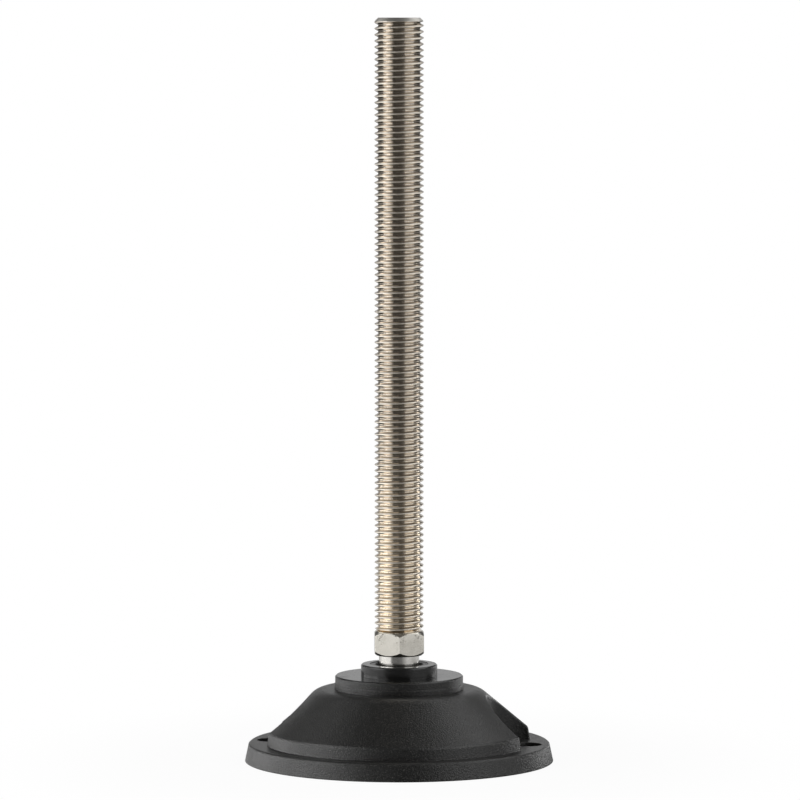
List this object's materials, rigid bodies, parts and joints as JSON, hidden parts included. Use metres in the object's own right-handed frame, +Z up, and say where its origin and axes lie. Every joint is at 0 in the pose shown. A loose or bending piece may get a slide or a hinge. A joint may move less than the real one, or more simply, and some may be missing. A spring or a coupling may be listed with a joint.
{
  "type": "leveling foot",
  "caption": "Articulated leveling foot: stepped round plastic base with bolt-down pockets, and a long threaded steel spindle with a hexagon, held by a ball joint.",
  "frame": {"origin": "middle of the base's underside, on the floor", "axes": "+Z up the spindle, X through the two bolt holes, -Y towards the viewer"},
  "size_m": [0.101, 0.101, 0.2427],
  "materials": {
    "base_plastic": "black glass-filled nylon, fine spark texture",
    "ring_plastic": "black nylon, smooth",
    "spindle_steel": "nickel-plated steel, bright"
  },
  "bodies": {
    "base": {"base": "base_plastic"},
    "ring": {"retaining_ring": "ring_plastic"},
    "spindle": {"spindle": "spindle_steel"}
  },
  "joints": [
    {"name": "swivel", "type": "hinge", "parent": "base", "child": "ring", "pos_m": [0, 0, 0.0251], "axis": [0, 0, 1], "continuous": true},
    {"name": "tilt", "type": "hinge", "parent": "ring", "child": "spindle", "pos_m": [0, 0, 0.0251], "axis": [1, 0, 0], "range_deg": [-7.5, 7.5]}
  ]
}
